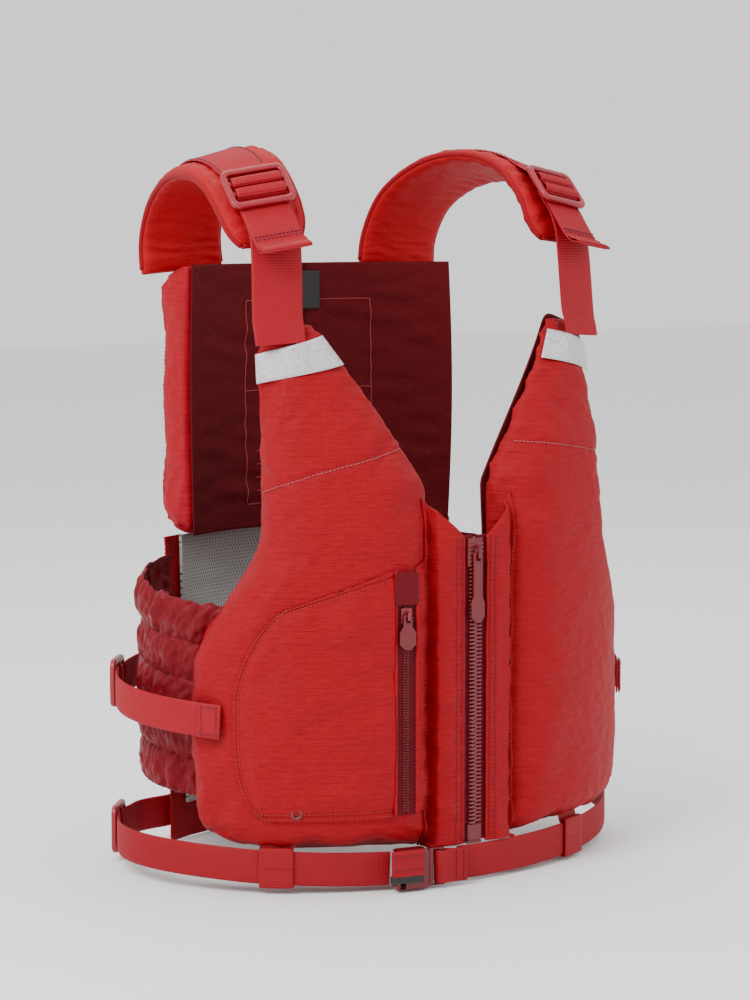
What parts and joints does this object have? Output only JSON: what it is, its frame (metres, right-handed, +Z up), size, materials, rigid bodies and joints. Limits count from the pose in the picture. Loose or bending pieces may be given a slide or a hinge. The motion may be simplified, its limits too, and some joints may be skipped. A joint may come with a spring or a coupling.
{
  "type": "buoyancy vest",
  "caption": "High-backed touring buoyancy vest with padded front panels, mesh lower back, front zip, zipped pocket, waist belt and adjustable shoulders.",
  "frame": {"origin": "middle of the box round the vest, at the height of the back hem's lower edge, which it stands on", "axes": "+Z up towards the shoulders, -Y towards the front zip, +X towards the wearer's left"},
  "size_m": [0.4214, 0.2888, 0.5406],
  "materials": {
    "shell_fabric": "matt woven ripstop",
    "back_fabric": "matt woven ripstop",
    "lining_fabric": "matt twill",
    "foam": "soft closed-cell",
    "spacer_mesh": "matt open mesh",
    "stretch_fabric": "satin gathered",
    "webbing": "ribbed webbing",
    "reflective": "satin reflective",
    "plastic": "satin moulded",
    "zip_plastic": "satin moulded",
    "zip_tape": "matt woven",
    "dark_plastic": "soft moulded",
    "black_rubber": "matt",
    "slider_metal": "satin",
    "label": "matt woven"
  },
  "bodies": {
    "vest": {"front_right_cover": "shell_fabric", "front_right_foam": "foam", "front_right_lining": "lining_fabric", "placket_right": "shell_fabric", "reflective_band_right": "reflective", "side_panel_right": "stretch_fabric", "side_adjuster_right": "plastic", "side_strap_right": "webbing", "side_anchor_right": "webbing", "shoulder_yoke_right": "shell_fabric", "shoulder_webbing_right": "webbing", "shoulder_adjuster_right": "plastic", "shoulder_strap_right": "webbing", "zip_tape_right": "zip_tape", "waist_adjuster_right": "plastic", "waist_belt_right": "webbing", "waist_anchor_right": "webbing", "belt_loop_right": "webbing", "lower_back_strip_right": "shell_fabric", "front_left_cover": "shell_fabric", "front_left_foam": "foam", "front_left_lining": "lining_fabric", "placket_left": "shell_fabric", "reflective_band_left": "reflective", "side_panel_left": "stretch_fabric", "side_adjuster_left": "plastic", "side_strap_left": "webbing", "side_anchor_left": "webbing", "shoulder_yoke_left": "shell_fabric", "shoulder_webbing_left": "webbing", "shoulder_adjuster_left": "plastic", "shoulder_strap_left": "webbing", "zip_tape_left": "zip_tape", "waist_adjuster_left": "plastic", "waist_belt_left": "webbing", "waist_anchor_left": "webbing", "belt_loop_left": "webbing", "lower_back_strip_left": "shell_fabric", "back_cover": "back_fabric", "back_foam": "foam", "back_lining": "lining_fabric", "lower_back_mesh": "spacer_mesh", "lower_back_hem": "shell_fabric", "lower_back_cross_band": "shell_fabric", "buckle_socket": "plastic", "belt_tail": "webbing", "belt_tail_tip": "black_rubber", "zip_box": "zip_plastic", "pocket_front": "shell_fabric", "pocket_facing": "shell_fabric", "pocket_zip_tape": "zip_tape", "pocket_zip_garage": "dark_plastic", "drain_eyelet": "dark_plastic", "neck_tag": "label"},
    "main_slider": {"zip_slider": "plastic"},
    "main_pull": {"zip_pull": "plastic"},
    "pocket_slider": {"pocket_zip_slider": "slider_metal"},
    "pocket_pull": {"pocket_zip_pull": "dark_plastic"},
    "buckle_plug_end": {"buckle_plug": "plastic", "buckle_plug_web": "webbing"}
  },
  "joints": [
    {"name": "main_zip_slide", "type": "slide", "parent": "vest", "child": "main_slider", "axis": [0, 0, -1], "range_m": [0, 0.163]},
    {"name": "main_pull_swing", "type": "hinge", "parent": "main_slider", "child": "main_pull", "pos_m": [0, -0.13639, 0.2434], "axis": [-1, 0, 0], "range_deg": [0, 95]},
    {"name": "pocket_zip_slide", "type": "slide", "parent": "vest", "child": "pocket_slider", "axis": [0, 0, -1], "range_m": [0, 0.13]},
    {"name": "pocket_pull_swing", "type": "hinge", "parent": "pocket_slider", "child": "pocket_pull", "pos_m": [-0.06448, -0.141, 0.2033], "axis": [-0.9756, 0.2198, 0], "range_deg": [0, 95]},
    {"name": "buckle_release", "type": "slide", "parent": "vest", "child": "buckle_plug_end", "axis": [0.9888, -0.1493, 0], "range_m": [0, 0.03]}
  ]
}
